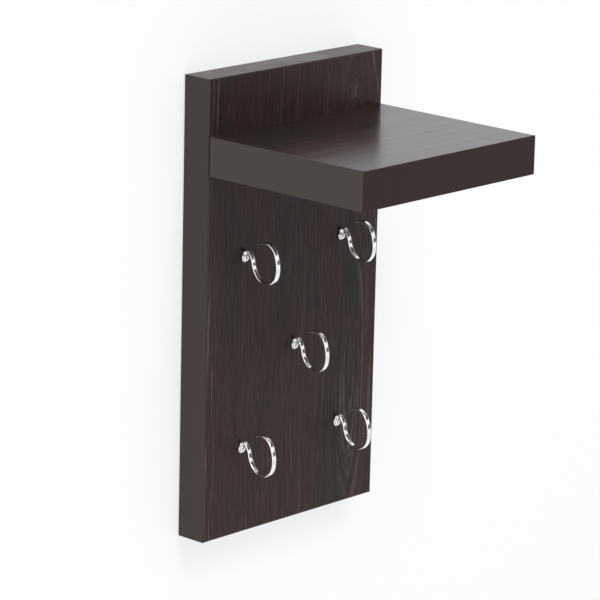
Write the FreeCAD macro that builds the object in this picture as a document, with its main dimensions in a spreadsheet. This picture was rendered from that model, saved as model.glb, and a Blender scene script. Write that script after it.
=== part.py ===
import FreeCAD, Part
import math
import operator
import os
from types import SimpleNamespace

import Sketcher

# Wall key holder: an upright back panel with a shelf near its top and five strip hooks below it.
# Millimetres. +Z is up, -Y is out of the wall, and the origin is the middle of the face on the wall.

drivingSizes = {
    # back panel
    "boardWidth": 158.0,
    "boardHeight": 300.0,
    "boardThickness": 22.0,
    # shelf, flush with both sides of the back panel
    "shelfDepth": 130.0,          # how far it stands out of the back panel
    "shelfThickness": 25.0,
    "shelfDrop": 36.0,            # from the panel's top edge down to the shelf's top
    # edge bands
    "bandThickness": 1.0,
    "bandEdgeRadius": 0.4,
    # dowels between the two panels
    "dowelDiameter": 8.0,
    "dowelInset": 54.0,           # from the panels' side to the dowel's middle
    "dowelInBoard": 10.0,
    "dowelInShelf": 22.0,
    "dowelChamfer": 0.8,
    "dowelHoleSpare": 1.0,        # extra depth of each dowel hole
    # screws from behind through the back panel into the shelf
    "panelScrewInset": 30.0,      # from the panels' side to the screw's middle
    "panelScrewHeadDiameter": 10.0,
    "panelScrewHeadThickness": 3.5,
    "panelScrewSink": 0.8,        # how far its head lies below the wall face
    "panelScrewShankDiameter": 6.6,
    "panelScrewCoreDiameter": 5.0,
    "panelScrewInShelf": 28.0,
    "panelScrewTip": 3.0,
    "panelSocketDiameter": 4.6,   # across the corners of its six-sided socket
    "panelSocketDepth": 2.4,
    # keyhole plates let into the wall face
    "plateInset": 27.0,           # from the panel's side to the plate's middle
    "plateHeight": 34.0,
    "plateWidth": 16.0,
    "plateThickness": 1.8,
    "plateCornerRadius": 3.0,
    "plateSink": 0.2,
    "plateFromTop": 23.0,         # from the panel's top edge down to the plate's middle
    "plateScrewInset": 4.0,       # from the plate's end to its screw's middle
    "keyholeEntryDiameter": 9.0,
    "keyholeSlotWidth": 4.6,
    "keyholeEntryDrop": 3.0,      # entry hole's middle below the plate's middle
    "keyholeSlotRise": 5.0,       # slot's end above the plate's middle
    "keyholeRoomDepth": 5.0,      # room behind the plate for the wall screw's head
    "keyholeRoomMargin": 1.0,     # that room beyond the entry hole
    # small countersunk screws of the keyhole plates
    "plateScrewDiameter": 2.6,
    "plateScrewHeadDiameter": 5.4,
    "plateScrewLength": 12.0,
    "plateScrewTip": 2.0,
    # hooks: places of the screws, then the bent strip
    "hookLeftInset": 33.1,        # left column from the panel's left edge
    "hookRightInset": 35.7,       # right column from the panel's right edge
    "hookUpperDrop": 57.2,        # upper row below the shelf's underside
    "hookLowerHeight": 56.1,      # lower row above the panel's lower edge
    "hookMiddleShift": 1.4,       # middle hook to the right of the panel's middle
    "hookMiddleDrop": 2.75,       # middle hook below the half-way height of the two rows
    "stripWidth": 3.2,
    "stripThickness": 1.4,
    "stripEdgeRadius": 0.55,
    # the strip's bends in their order from the foot: radius at mid thickness, and degrees of turn
    "curlRadius": 2.1,            # over the screw
    "curlAngle": 133.0,
    "shoulderRadius": 13.3,       # on down in front of the screw
    "shoulderAngle": 36.5,
    "rearRadius": 15.2,           # down the back of the loop; from here on it bends the other way
    "rearAngle": 36.0,
    "lowBendRadius": 9.9,         # round the bottom of the loop
    "lowBendAngle": 126.0,
    "flankRadius": 22.0,          # up its front
    "flankAngle": 32.0,
    "highBendRadius": 9.8,        # over its top to the free end
    "highBendAngle": 93.5,
    "footDiameter": 5.6,
    "footHoleDiameter": 2.5,
    # round-headed hook screws
    "hookScrewDiameter": 2.2,
    "hookScrewHeadDiameter": 4.4,
    "hookScrewHeadHeight": 1.7,
    "hookScrewHeadRim": 0.4,      # straight wall under the dome
    "hookScrewInBoard": 14.0,
    "hookScrewTip": 2.0,
    # cross recess of the small screws
    "crossLength": 2.2,
    "crossWidth": 0.6,
    "crossDepth": 0.8,
    # clearances
    "fitClearance": 0.05,         # a screw or dowel in its hole, on the radius
    "letInClearance": 0.15,       # a plate or head in its recess, all round
    "curlClearance": 0.85,        # straight strip between the screw head and the first bend
    "holeEndClearance": 0.5,      # beyond a screw's point
}


class Length:
    """A size as a number, together with the same size as an expression of the sheet."""

    def __init__(self, text, number):
        self.text = text
        self.number = number

    def joined(self, sign, act, other, swapped=False):
        other = other if isinstance(other, Length) else Length(str(other), float(other))
        first, second = (other, self) if swapped else (self, other)
        return Length(f"({first.text} {sign} {second.text})", act(first.number, second.number))

    def __add__(self, other):
        return self.joined("+", operator.add, other)

    def __sub__(self, other):
        return self.joined("-", operator.sub, other)

    def __rsub__(self, other):
        return self.joined("-", operator.sub, other, swapped=True)

    def __mul__(self, other):
        return self.joined("*", operator.mul, other)

    def __rmul__(self, other):
        return self.joined("*", operator.mul, other, swapped=True)

    def __truediv__(self, other):
        return self.joined("/", operator.truediv, other)

    def __neg__(self):
        return Length(f"(-1 * {self.text})", -self.number)


os.makedirs("parts", exist_ok=True)
doc = FreeCAD.newDocument("WallKeyHolder")
sheet = doc.addObject("Spreadsheet::Sheet", "Sizes")
for row, (name, number) in enumerate(drivingSizes.items(), start=1):
    sheet.set(f"A{row}", name)
    sheet.set(f"B{row}", str(number))
    sheet.setAlias(f"B{row}", name)
doc.recompute()

size = SimpleNamespace(**{
    name: Length(f"Sizes.{name}", number) for name, number in drivingSizes.items()
})
subParts = []

# sizes that several pieces share
coreWidth = size.boardWidth - 2 * size.bandThickness
coreHeight = size.boardHeight - 2 * size.bandThickness
coreDepth = size.shelfDepth - size.bandThickness
shelfMiddle = size.boardHeight / 2 - size.shelfDrop - size.shelfThickness / 2
plateMiddle = size.boardHeight / 2 - size.plateFromTop
plateAcross = size.boardWidth / 2 - size.plateInset
plateScrewRise = size.plateHeight / 2 - size.plateScrewInset
panelScrewAcross = size.boardWidth / 2 - size.panelScrewInset
dowelAcross = size.boardWidth / 2 - size.dowelInset
plateScrewRadius = size.plateScrewDiameter / 2
plateScrewHeadRadius = size.plateScrewHeadDiameter / 2
hookScrewRadius = size.hookScrewDiameter / 2
hookScrewHeadRadius = size.hookScrewHeadDiameter / 2
# the hook's small bend starts just above the screw head
curlRise = hookScrewHeadRadius + size.curlClearance

sides = {"left": -1, "right": 1}
rises = {"lower": -1, "upper": 1}
samePlace = 1e-3                  # points nearer than this are the same point
hexagonRise = math.sqrt(3) / 2    # height of a hexagon's upper corners, per unit of its corner radius

# the hooks' columns and rows: two by two, and one between them
leftColumn = size.hookLeftInset - size.boardWidth / 2
rightColumn = size.boardWidth / 2 - size.hookRightInset
upperRow = shelfMiddle - size.shelfThickness / 2 - size.hookUpperDrop
lowerRow = size.hookLowerHeight - size.boardHeight / 2
hookPlaces = {
    "upper_left": (leftColumn, upperRow),
    "upper_right": (rightColumn, upperRow),
    "middle": (size.hookMiddleShift, (upperRow + lowerRow) / 2 - size.hookMiddleDrop),
    "lower_left": (leftColumn, lowerRow),
    "lower_right": (rightColumn, lowerRow),
}


def newBody(name, turnDegrees=0, **base):
    """Start a sub-part; base gives the expressions of its place, such as z=..."""
    body = doc.addObject("PartDesign::Body", name)
    body.Label = name
    start = FreeCAD.Vector(*(base[axis].number if axis in base else 0 for axis in "xyz"))
    body.Placement = FreeCAD.Placement(start, FreeCAD.Rotation(turnDegrees, 0, 0))
    for axis, place in base.items():
        body.setExpression(f"Placement.Base.{axis}", place.text)
    subParts.append(body)
    return body


def newSketch(body, name, role, lift=None):
    """Attach a sketch to one of the body's own planes, raised by lift along its normal."""
    sketch = body.newObject("Sketcher::SketchObject", f"{body.Name}_{name}")
    support = next(plane for plane in body.Origin.OriginFeatures if plane.Role == role)
    sketch.AttachmentSupport = [(support, "")]
    sketch.MapMode = "FlatFace"
    if lift:
        sketch.AttachmentOffset = FreeCAD.Placement(FreeCAD.Vector(0, 0, lift.number), FreeCAD.Rotation())
        sketch.setExpression("AttachmentOffset.Base.z", lift.text)
    return sketch


def bind(sketch, kind, *references, length):
    """Add a constraint whose value is an expression of the sheet."""
    index = sketch.addConstraint(Sketcher.Constraint(kind, *references, length.number))
    sketch.setExpression(f"Constraints[{index}]", length.text)


def place(sketch, geometry, point, across, up):
    """Hold a point at a place measured from the sketch's origin; None means on the axis."""
    if across is None:
        sketch.addConstraint(Sketcher.Constraint("PointOnObject", geometry, point, -2))
    else:
        bind(sketch, "DistanceX", -1, 1, geometry, point, length=across)
    if up is None:
        sketch.addConstraint(Sketcher.Constraint("PointOnObject", geometry, point, -1))
    else:
        bind(sketch, "DistanceY", -1, 1, geometry, point, length=up)


def flat(across, up):
    """A sketch point from two lengths, where None counts as zero."""
    return FreeCAD.Vector(across.number if across else 0, up.number if up else 0, 0)


def flatTurned(reach, angle):
    """A step of a given length in a direction of the sketch's plane."""
    return FreeCAD.Vector(reach.number * math.cos(angle), reach.number * math.sin(angle), 0)


def addOutline(sketch, corners):
    """A closed outline of straight sides through corners, each an (across, up) pair."""
    first = sketch.GeometryCount
    count = len(corners)
    for index, corner in enumerate(corners):
        following = corners[(index + 1) % count]
        sketch.addGeometry(Part.LineSegment(flat(*corner), flat(*following)))
    for index, corner in enumerate(corners):
        following = first + (index + 1) % count
        sketch.addConstraint(Sketcher.Constraint("Coincident", first + index, 2, following, 1))
        place(sketch, first + index, 1, *corner)


def addRectangle(sketch, width, height, across=None, up=None):
    """A rectangle about a middle point."""
    left = -(width / 2) if across is None else across - width / 2
    right = width / 2 if across is None else across + width / 2
    low = -(height / 2) if up is None else up - height / 2
    high = height / 2 if up is None else up + height / 2
    addOutline(sketch, [(left, low), (right, low), (right, high), (left, high)])


def addSoftRectangle(sketch, width, height, radius, across=None, up=None):
    """A rectangle with round corners about a middle point."""
    left = -(width / 2) if across is None else across - width / 2
    right = width / 2 if across is None else across + width / 2
    low = -(height / 2) if up is None else up - height / 2
    high = height / 2 if up is None else up + height / 2
    # each corner: its centre, and the quarter turn where its arc starts
    corners = [
        (right - radius, low + radius, -1), (right - radius, high - radius, 0),
        (left + radius, high - radius, 1), (left + radius, low + radius, 2),
    ]
    arcs = []
    straights = []
    for centreAcross, centreUp, quarter in corners:
        circle = Part.Circle(flat(centreAcross, centreUp), FreeCAD.Vector(0, 0, 1), radius.number)
        start = quarter * math.pi / 2
        arcs.append(sketch.addGeometry(Part.ArcOfCircle(circle, start, start + math.pi / 2)))
    for index, arc in enumerate(arcs):
        begin = sketch.Geometry[arc].EndPoint
        end = sketch.Geometry[arcs[(index + 1) % len(arcs)]].StartPoint
        straights.append(sketch.addGeometry(Part.LineSegment(begin, end)))
    for index, arc in enumerate(arcs):
        following = arcs[(index + 1) % len(arcs)]
        bind(sketch, "Radius", arc, length=radius)
        sketch.addConstraint(Sketcher.Constraint("Tangent", arc, 2, straights[index], 1))
        sketch.addConstraint(Sketcher.Constraint("Tangent", straights[index], 2, following, 1))
    rightSide, topSide, leftSide, lowSide = straights
    for side in (rightSide, leftSide):
        sketch.addConstraint(Sketcher.Constraint("Vertical", side))
    for side in (topSide, lowSide):
        sketch.addConstraint(Sketcher.Constraint("Horizontal", side))
    bind(sketch, "DistanceX", -1, 1, rightSide, 1, length=right)
    bind(sketch, "DistanceX", -1, 1, leftSide, 1, length=left)
    bind(sketch, "DistanceY", -1, 1, topSide, 1, length=high)
    bind(sketch, "DistanceY", -1, 1, lowSide, 1, length=low)


def addCircle(sketch, radius, across=None, up=None):
    """A circle about a middle point."""
    circle = Part.Circle(flat(across, up), FreeCAD.Vector(0, 0, 1), radius.number)
    index = sketch.addGeometry(circle)
    place(sketch, index, 3, across, up)
    bind(sketch, "Radius", index, length=radius)


def addFeature(body, kind, name, profile):
    feature = body.newObject(f"PartDesign::{kind}", f"{body.Name}_{name}")
    feature.Profile = profile
    profile.Visibility = False
    return feature


def addPad(body, name, profile, length, reverse=False):
    feature = addFeature(body, "Pad", name, profile)
    feature.setExpression("Length", length.text)
    feature.Reversed = reverse
    return feature


def addPocket(body, name, profile, depth, reverse=False):
    """Cut a profile to a depth and make sure that it has taken material away."""
    doc.recompute()
    before = body.Shape.Volume
    feature = addFeature(body, "Pocket", name, profile)
    feature.setExpression("Length", depth.text)
    feature.Reversed = reverse
    doc.recompute()
    if not body.Shape.Volume < before:
        raise RuntimeError(f"{feature.Name} cut nothing")
    return feature


def addTurned(body, name, corners):
    """Turn a half outline, given as (radius, along) pairs, about the body's Y axis."""
    sketch = newSketch(body, f"{name}_outline", "XY_Plane")
    addOutline(sketch, corners)
    feature = addFeature(body, "Revolution", name, sketch)
    feature.ReferenceAxis = (sketch, ["V_Axis"])
    feature.Angle = 360
    return feature


def addGroove(body, name, corners, middle):
    """Cut a ring about an axis along Y at a height; corners are (along, height) pairs."""
    doc.recompute()
    before = body.Shape.Volume
    sketch = newSketch(body, f"{name}_outline", "YZ_Plane")
    addOutline(sketch, corners)
    axis = Part.LineSegment(flat(None, middle), flat(Length("1", 1.0), middle))
    index = sketch.addGeometry(axis, True)
    place(sketch, index, 1, None, middle)
    place(sketch, index, 2, Length("1", 1.0), middle)
    feature = addFeature(body, "Groove", name, sketch)
    feature.ReferenceAxis = (sketch, ["Axis0"])
    feature.Angle = 360
    doc.recompute()
    if not body.Shape.Volume < before:
        raise RuntimeError(f"{feature.Name} cut nothing")


def roundEdges(body, name, radius, wanted):
    """Round the edges of the body so far whose middle point passes the test."""
    doc.recompute()
    base = body.Tip
    found = []
    for index, edge in enumerate(base.Shape.Edges, start=1):
        if wanted(edge.CenterOfMass):
            found.append(f"Edge{index}")
    feature = body.newObject("PartDesign::Fillet", f"{body.Name}_{name}")
    feature.Base = (base, found)
    feature.setExpression("Radius", radius.text)
    base.Visibility = False


def bevelEnds(body, name, bevel):
    """Bevel the round edges at the two ends of a turned pin."""
    doc.recompute()
    base = body.Tip
    found = [f"Edge{index}" for index, edge in enumerate(base.Shape.Edges, start=1) if edge.isClosed()]
    feature = body.newObject("PartDesign::Chamfer", f"{body.Name}_{name}")
    feature.Base = (base, found)
    feature.setExpression("Size", bevel.text)


def crossOutline(body, lift=None):
    """Outline of a screwdriver's cross recess, on the face that it is cut into."""
    length = size.crossLength / 2
    width = size.crossWidth / 2
    sketch = newSketch(body, "recess_outline", "XZ_Plane", lift)
    addOutline(sketch, [
        (length, -width), (length, width), (width, width), (width, length),
        (-width, length), (-width, width), (-length, width), (-length, -width),
        (-width, -width), (-width, -length), (width, -length), (width, -width),
    ])
    return sketch


def buildBackPanel():
    body = newBody("back_panel")
    face = newSketch(body, "face", "XZ_Plane")
    addRectangle(face, coreWidth, coreHeight)
    addPad(body, "board", face, size.boardThickness)

    shankRadius = size.panelScrewShankDiameter / 2 + size.fitClearance
    headRadius = size.panelScrewHeadDiameter / 2 + size.letInClearance
    through = newSketch(body, "screw_holes", "XZ_Plane")
    sunk = newSketch(body, "head_recesses", "XZ_Plane")
    for side in sides.values():
        across = side * panelScrewAcross
        addCircle(through, shankRadius, across, shelfMiddle)
        addCircle(sunk, headRadius, across, shelfMiddle)
    addPocket(body, "drilled_through", through, size.boardThickness, reverse=True)
    recess = size.panelScrewSink + size.panelScrewHeadThickness
    addPocket(body, "head_recess", sunk, recess, reverse=True)

    dowelHoles = newSketch(body, "dowel_holes", "XZ_Plane", size.boardThickness)
    for side in sides.values():
        addCircle(dowelHoles, size.dowelDiameter / 2 + size.fitClearance,
                  side * dowelAcross, shelfMiddle)
    addPocket(body, "dowel_drilled", dowelHoles, size.dowelInBoard + size.dowelHoleSpare)

    hookHoles = newSketch(body, "hook_screw_holes", "XZ_Plane", size.boardThickness)
    for across, height in hookPlaces.values():
        addCircle(hookHoles, hookScrewRadius + size.fitClearance, across, height)
    addPocket(body, "hook_drilled", hookHoles, size.hookScrewInBoard + size.holeEndClearance)

    plateRecess = newSketch(body, "plate_recesses", "XZ_Plane")
    room = newSketch(body, "keyhole_rooms", "XZ_Plane")
    plateHoles = newSketch(body, "plate_screw_holes", "XZ_Plane")
    roomWidth = size.keyholeEntryDiameter + 2 * size.keyholeRoomMargin
    roomHeight = size.keyholeEntryDrop + size.keyholeSlotRise + roomWidth
    roomMiddle = plateMiddle + (size.keyholeSlotRise - size.keyholeEntryDrop) / 2
    for side in sides.values():
        across = side * plateAcross
        addRectangle(plateRecess, size.plateWidth + 2 * size.letInClearance,
                     size.plateHeight + 2 * size.letInClearance, across, plateMiddle)
        addRectangle(room, roomWidth, roomHeight, across, roomMiddle)
        for rise in rises.values():
            addCircle(plateHoles, plateScrewRadius + size.fitClearance,
                      across, plateMiddle + rise * plateScrewRise)
    letIn = size.plateSink + size.plateThickness
    addPocket(body, "plate_recess", plateRecess, letIn, reverse=True)
    addPocket(body, "keyhole_room", room, letIn + size.keyholeRoomDepth, reverse=True)
    screwDepth = size.plateSink + size.plateScrewLength + size.holeEndClearance
    addPocket(body, "plate_screws_drilled", plateHoles, screwDepth, reverse=True)


def outerEdges(outward, sign, width, rim, rimSize):
    """Test for a band's two long outer edges, from the axes across and along its width."""
    def wanted(point):
        fromFace = getattr(point, outward) * sign - width.number / 2
        fromRim = abs(getattr(point, rim)) - rimSize.number / 2
        return abs(fromFace) < samePlace and abs(fromRim) < samePlace
    return wanted


def buildBand(name, role, section, length, wanted, **base):
    """One edge band: a strip whose two long outer edges are softened."""
    body = newBody(name, **base)
    sketch = newSketch(body, "section", role)
    addRectangle(sketch, *section)
    addPad(body, "strip", sketch, length)
    roundEdges(body, "softened", size.bandEdgeRadius, wanted)


def buildBackBands():
    band = size.bandThickness
    thick = size.boardThickness
    for side, sign in sides.items():
        wanted = outerEdges("x", sign, band, "y", thick)
        buildBand(f"back_band_{side}", "XY_Plane", (band, thick), size.boardHeight, wanted,
                  x=sign * (size.boardWidth / 2 - band / 2), y=-(thick / 2), z=-(size.boardHeight / 2))
    for end, sign in {"top": 1, "bottom": -1}.items():
        wanted = outerEdges("z", sign, band, "y", thick)
        buildBand(f"back_band_{end}", "YZ_Plane", (thick, band), coreWidth, wanted,
                  x=-(coreWidth / 2), y=-(thick / 2), z=sign * (size.boardHeight / 2 - band / 2))


def buildShelf():
    body = newBody("shelf_panel", y=-size.boardThickness, z=shelfMiddle)
    end = newSketch(body, "end", "XZ_Plane")
    addRectangle(end, coreWidth, size.shelfThickness)
    addPad(body, "board", end, coreDepth)
    screwHoles = newSketch(body, "screw_holes", "XZ_Plane")
    dowelHoles = newSketch(body, "dowel_holes", "XZ_Plane")
    for sign in sides.values():
        addCircle(screwHoles, size.panelScrewCoreDiameter / 2 + size.fitClearance,
                  sign * panelScrewAcross)
        addCircle(dowelHoles, size.dowelDiameter / 2 + size.fitClearance, sign * dowelAcross)
    addPocket(body, "screw_drilled", screwHoles, size.panelScrewInShelf + size.holeEndClearance, reverse=True)
    addPocket(body, "dowel_drilled", dowelHoles, size.dowelInShelf + size.dowelHoleSpare, reverse=True)

    band = size.bandThickness
    thick = size.shelfThickness
    for side, sign in sides.items():
        wanted = outerEdges("x", sign, band, "z", thick)
        buildBand(f"shelf_band_{side}", "XZ_Plane", (band, thick), coreDepth, wanted,
                  x=sign * (size.boardWidth / 2 - band / 2), y=-size.boardThickness, z=shelfMiddle)
    wanted = outerEdges("y", -1, band, "z", thick)
    buildBand("shelf_band_front", "YZ_Plane", (band, thick), size.boardWidth, wanted,
              x=-(size.boardWidth / 2), y=-(size.boardThickness + size.shelfDepth - band / 2), z=shelfMiddle)


def buildDowels():
    for side, sign in sides.items():
        body = newBody(f"shelf_dowel_{side}", x=sign * dowelAcross,
                       y=size.dowelInBoard - size.boardThickness, z=shelfMiddle)
        section = newSketch(body, "section", "XZ_Plane")
        addCircle(section, size.dowelDiameter / 2)
        addPad(body, "pin", section, size.dowelInBoard + size.dowelInShelf)
        bevelEnds(body, "bevelled", size.dowelChamfer)


def buildPanelScrews():
    headRadius = size.panelScrewHeadDiameter / 2
    shankRadius = size.panelScrewShankDiameter / 2
    coreRadius = size.panelScrewCoreDiameter / 2
    toShelf = size.boardThickness - size.panelScrewSink
    length = toShelf + size.panelScrewInShelf
    socketCorner = size.panelSocketDiameter / 2
    for side, sign in sides.items():
        body = newBody(f"shelf_screw_{side}", turnDegrees=180, x=sign * panelScrewAcross,
                       y=-size.panelScrewSink, z=shelfMiddle)
        addTurned(body, "turned", [
            (None, None), (headRadius, None), (headRadius, size.panelScrewHeadThickness),
            (shankRadius, size.panelScrewHeadThickness), (shankRadius, toShelf),
            (coreRadius, toShelf), (coreRadius, length - size.panelScrewTip), (None, length),
        ])
        socket = newSketch(body, "socket_outline", "XZ_Plane")
        addOutline(socket, [
            (socketCorner, None), (socketCorner / 2, socketCorner * hexagonRise),
            (-(socketCorner / 2), socketCorner * hexagonRise), (-socketCorner, None),
            (-(socketCorner / 2), -(socketCorner * hexagonRise)),
            (socketCorner / 2, -(socketCorner * hexagonRise)),
        ])
        addPocket(body, "socket", socket, size.panelSocketDepth)


def buildHangerPlates():
    holeRadius = plateScrewRadius + size.fitClearance
    headRadius = plateScrewHeadRadius + size.fitClearance
    thick = size.plateThickness
    for side, sign in sides.items():
        body = newBody(f"hanger_plate_{side}", x=sign * plateAcross,
                       y=-size.plateSink, z=plateMiddle)
        outline = newSketch(body, "outline", "XZ_Plane")
        addSoftRectangle(outline, size.plateWidth, size.plateHeight, size.plateCornerRadius)
        addPad(body, "sheet", outline, thick)
        entry = newSketch(body, "entry_outline", "XZ_Plane")
        addCircle(entry, size.keyholeEntryDiameter / 2, None, -size.keyholeEntryDrop)
        addPocket(body, "keyhole_entry", entry, thick, reverse=True)
        slot = newSketch(body, "slot_outline", "XZ_Plane")
        addRectangle(slot, size.keyholeSlotWidth, size.keyholeEntryDrop + size.keyholeSlotRise,
                     None, (size.keyholeSlotRise - size.keyholeEntryDrop) / 2)
        addPocket(body, "keyhole_slot", slot, thick, reverse=True)
        slotEnd = newSketch(body, "slot_end_outline", "XZ_Plane")
        addCircle(slotEnd, size.keyholeSlotWidth / 2, None, size.keyholeSlotRise)
        addPocket(body, "keyhole_slot_end", slotEnd, thick, reverse=True)
        for end, rise in rises.items():
            middle = rise * plateScrewRise
            cone = headRadius - holeRadius
            addGroove(body, f"countersink_{end}", [
                (None, middle), (None, middle + headRadius), (-cone, middle + holeRadius),
                (-thick, middle + holeRadius), (-thick, middle),
            ], middle)
            buildPlateScrew(f"hanger_screw_{side}_{end}", sign * plateAcross, plateMiddle + middle)


def buildPlateScrew(name, across, height):
    """Countersunk screw, flush with its plate."""
    body = newBody(name, turnDegrees=180, x=across, y=-size.plateSink, z=height)
    cone = plateScrewHeadRadius - plateScrewRadius
    addTurned(body, "turned", [
        (None, None), (plateScrewHeadRadius, None), (plateScrewRadius, cone),
        (plateScrewRadius, size.plateScrewLength - size.plateScrewTip), (None, size.plateScrewLength),
    ])
    addPocket(body, "recess", crossOutline(body), size.crossDepth)


def buildHookScrew(name, across, height):
    """Round-headed screw through the hook's foot."""
    body = newBody(f"hook_screw_{name}", x=across, y=-(size.boardThickness + size.stripThickness), z=height)
    head = size.hookScrewHeadHeight
    length = size.stripThickness + size.hookScrewInBoard
    addTurned(body, "turned", [
        (None, -head), (hookScrewHeadRadius, -head), (hookScrewHeadRadius, None),
        (hookScrewRadius, None), (hookScrewRadius, length - size.hookScrewTip), (None, length),
    ])
    roundEdges(body, "dome", head - size.hookScrewHeadRim,
               lambda point: abs(point.y + head.number) < samePlace)
    addPocket(body, "recess", crossOutline(body, head), size.crossDepth)


def addBend(sketch, begin, heading, radius, turn, way):
    """An arc that carries on from a point and heading, to the left with way 1 and to the right with -1."""
    towardsCentre = heading + way * math.pi / 2
    centre = begin + flatTurned(radius, towardsCentre)
    first = towardsCentre + math.pi
    last = first + way * math.radians(turn.number)
    circle = Part.Circle(centre, FreeCAD.Vector(0, 0, 1), radius.number)
    arc = sketch.addGeometry(Part.ArcOfCircle(circle, min(first, last), max(first, last)))
    bind(sketch, "Radius", arc, length=radius)
    # the sheet holds degrees, and a new constraint takes radians
    span = sketch.addConstraint(Sketcher.Constraint("Angle", arc, math.radians(turn.number)))
    sketch.setExpression(f"Constraints[{span}]", turn.text)
    return arc, centre + flatTurned(radius, last)


def addHookLine(sketch):
    """The strip's middle line: a straight tab at the foot, then bends that each carry on from the last."""
    mid = size.stripThickness / 2
    bends = [
        (size.curlRadius, size.curlAngle, -1),
        (size.shoulderRadius, size.shoulderAngle, -1),
        (size.rearRadius, size.rearAngle, 1),
        (size.lowBendRadius, size.lowBendAngle, 1),
        (size.flankRadius, size.flankAngle, 1),
        (size.highBendRadius, size.highBendAngle, 1),
    ]
    point = flat(mid, curlRise)
    heading = math.pi / 2
    tab = sketch.addGeometry(Part.LineSegment(flat(mid, None), point))
    sketch.addConstraint(Sketcher.Constraint("Vertical", tab))
    place(sketch, tab, 1, mid, None)
    bind(sketch, "DistanceY", -1, 1, tab, 2, length=curlRise)
    last, lastEnd = tab, 2
    for radius, turn, way in bends:
        # an arc's own start is always its clockwise end
        begin, end = (1, 2) if way > 0 else (2, 1)
        arc, point = addBend(sketch, point, heading, radius, turn, way)
        sketch.addConstraint(Sketcher.Constraint("Tangent", last, lastEnd, arc, begin))
        heading += way * math.radians(turn.number)
        last, lastEnd = arc, end


def buildHooks():
    for name, (across, height) in hookPlaces.items():
        body = newBody(f"hook_{name}", turnDegrees=180, x=across, y=-size.boardThickness, z=height)
        line = newSketch(body, "middle_line", "YZ_Plane")
        addHookLine(line)
        section = newSketch(body, "section", "XY_Plane")
        addSoftRectangle(section, size.stripWidth, size.stripThickness, size.stripEdgeRadius,
                         None, size.stripThickness / 2)
        strip = addFeature(body, "AdditivePipe", "strip", section)
        strip.Spine = (line, [""])
        line.Visibility = False
        foot = newSketch(body, "foot_outline", "XZ_Plane")
        addCircle(foot, size.footDiameter / 2)
        addPad(body, "foot", foot, size.stripThickness, reverse=True)
        hole = newSketch(body, "foot_hole_outline", "XZ_Plane")
        addCircle(hole, size.footHoleDiameter / 2)
        addPocket(body, "foot_hole", hole, size.stripThickness)
        buildHookScrew(name, across, height)


def checkAndExport():
    doc.recompute()
    for item in doc.Objects:
        if "Invalid" in item.State or "Error" in item.State:
            raise RuntimeError(f"{item.Name} could not be made: {item.State}")
    for body in subParts:
        shape = body.Shape
        if shape.isNull() or not shape.isValid() or len(shape.Solids) != 1:
            raise RuntimeError(f"{body.Label} is not one sound solid")
        shape.exportStep(f"parts/{body.Label}.step")
        print(body.Label, round(shape.Volume, 2))


buildBackPanel()
buildBackBands()
buildShelf()
buildDowels()
buildPanelScrews()
buildHangerPlates()
buildHooks()
checkAndExport()
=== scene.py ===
import math

import bmesh
import bpy
import numpy as np
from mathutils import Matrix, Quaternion, Vector


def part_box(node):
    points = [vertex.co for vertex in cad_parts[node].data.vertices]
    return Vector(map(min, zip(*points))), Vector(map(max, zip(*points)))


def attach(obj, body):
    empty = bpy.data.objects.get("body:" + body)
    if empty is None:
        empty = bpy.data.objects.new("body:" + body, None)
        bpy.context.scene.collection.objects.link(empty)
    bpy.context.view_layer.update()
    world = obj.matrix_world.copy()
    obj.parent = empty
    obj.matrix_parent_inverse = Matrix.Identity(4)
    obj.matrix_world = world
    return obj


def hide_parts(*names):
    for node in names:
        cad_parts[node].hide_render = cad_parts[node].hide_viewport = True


# Looks of a wall key holder: two panels in dark wood decor with plain bands, and bright strip hooks.
# Metres. +Z is up, -Y is out of the wall, and the origin is the middle of the face on the wall.

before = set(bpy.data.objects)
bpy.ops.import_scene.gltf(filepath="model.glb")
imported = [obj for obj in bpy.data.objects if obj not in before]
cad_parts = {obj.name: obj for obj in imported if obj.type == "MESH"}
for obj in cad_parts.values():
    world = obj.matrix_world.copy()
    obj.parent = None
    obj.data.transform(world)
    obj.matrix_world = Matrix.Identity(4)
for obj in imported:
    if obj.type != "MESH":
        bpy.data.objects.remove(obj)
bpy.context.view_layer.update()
scene = bpy.context.scene
mm = 0.001

hookNames = ["upper_left", "upper_right", "middle", "lower_left", "lower_right"]
sideNames = ["left", "right"]
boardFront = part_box("back_panel")[0].y


# Helpers for node trees

def feed(tree, socket, value):
    # a socket is linked, and a plain value is set
    if isinstance(value, bpy.types.NodeSocket):
        tree.links.new(value, socket)
    else:
        socket.default_value = value


def addNode(tree, kind, inputs=None, **settings):
    # the settings come first, because some of them change which inputs there are
    node = tree.nodes.new(kind)
    for name, value in settings.items():
        setattr(node, name, value)
    for name, value in (inputs or {}).items():
        feed(tree, node.inputs[name], value)
    return node


def calculate(tree, operation, first, second=0.0):
    # one Math node, such as first - second with SUBTRACT
    return addNode(tree, "ShaderNodeMath", {0: first, 1: second}, operation=operation).outputs[0]


def total(tree, first, *others):
    # first + second + third and so on
    for other in others:
        first = calculate(tree, "ADD", first, other)
    return first


def product(tree, first, *others):
    # first * second * third and so on
    for other in others:
        first = calculate(tree, "MULTIPLY", first, other)
    return first


def spread(tree, value, low, high, toLow=0.0, toHigh=1.0):
    # With t = (value - low) / (high - low) held between 0 and 1:
    # toLow + (toHigh - toLow) * t * t * (3 - 2 * t)
    node = addNode(tree, "ShaderNodeMapRange", {
        "Value": value, "From Min": low, "From Max": high, "To Min": toLow, "To Max": toHigh,
    }, interpolation_type="SMOOTHSTEP")
    return node.outputs["Result"]


def mixColour(tree, share, first, second, blend="MIX"):
    # first * (1 - share) + second * share, or first times second with the blend MULTIPLY
    inputs = {0: share, 6: first, 7: second}
    return addNode(tree, "ShaderNodeMix", inputs, data_type="RGBA", blend_type=blend).outputs[2]


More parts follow.
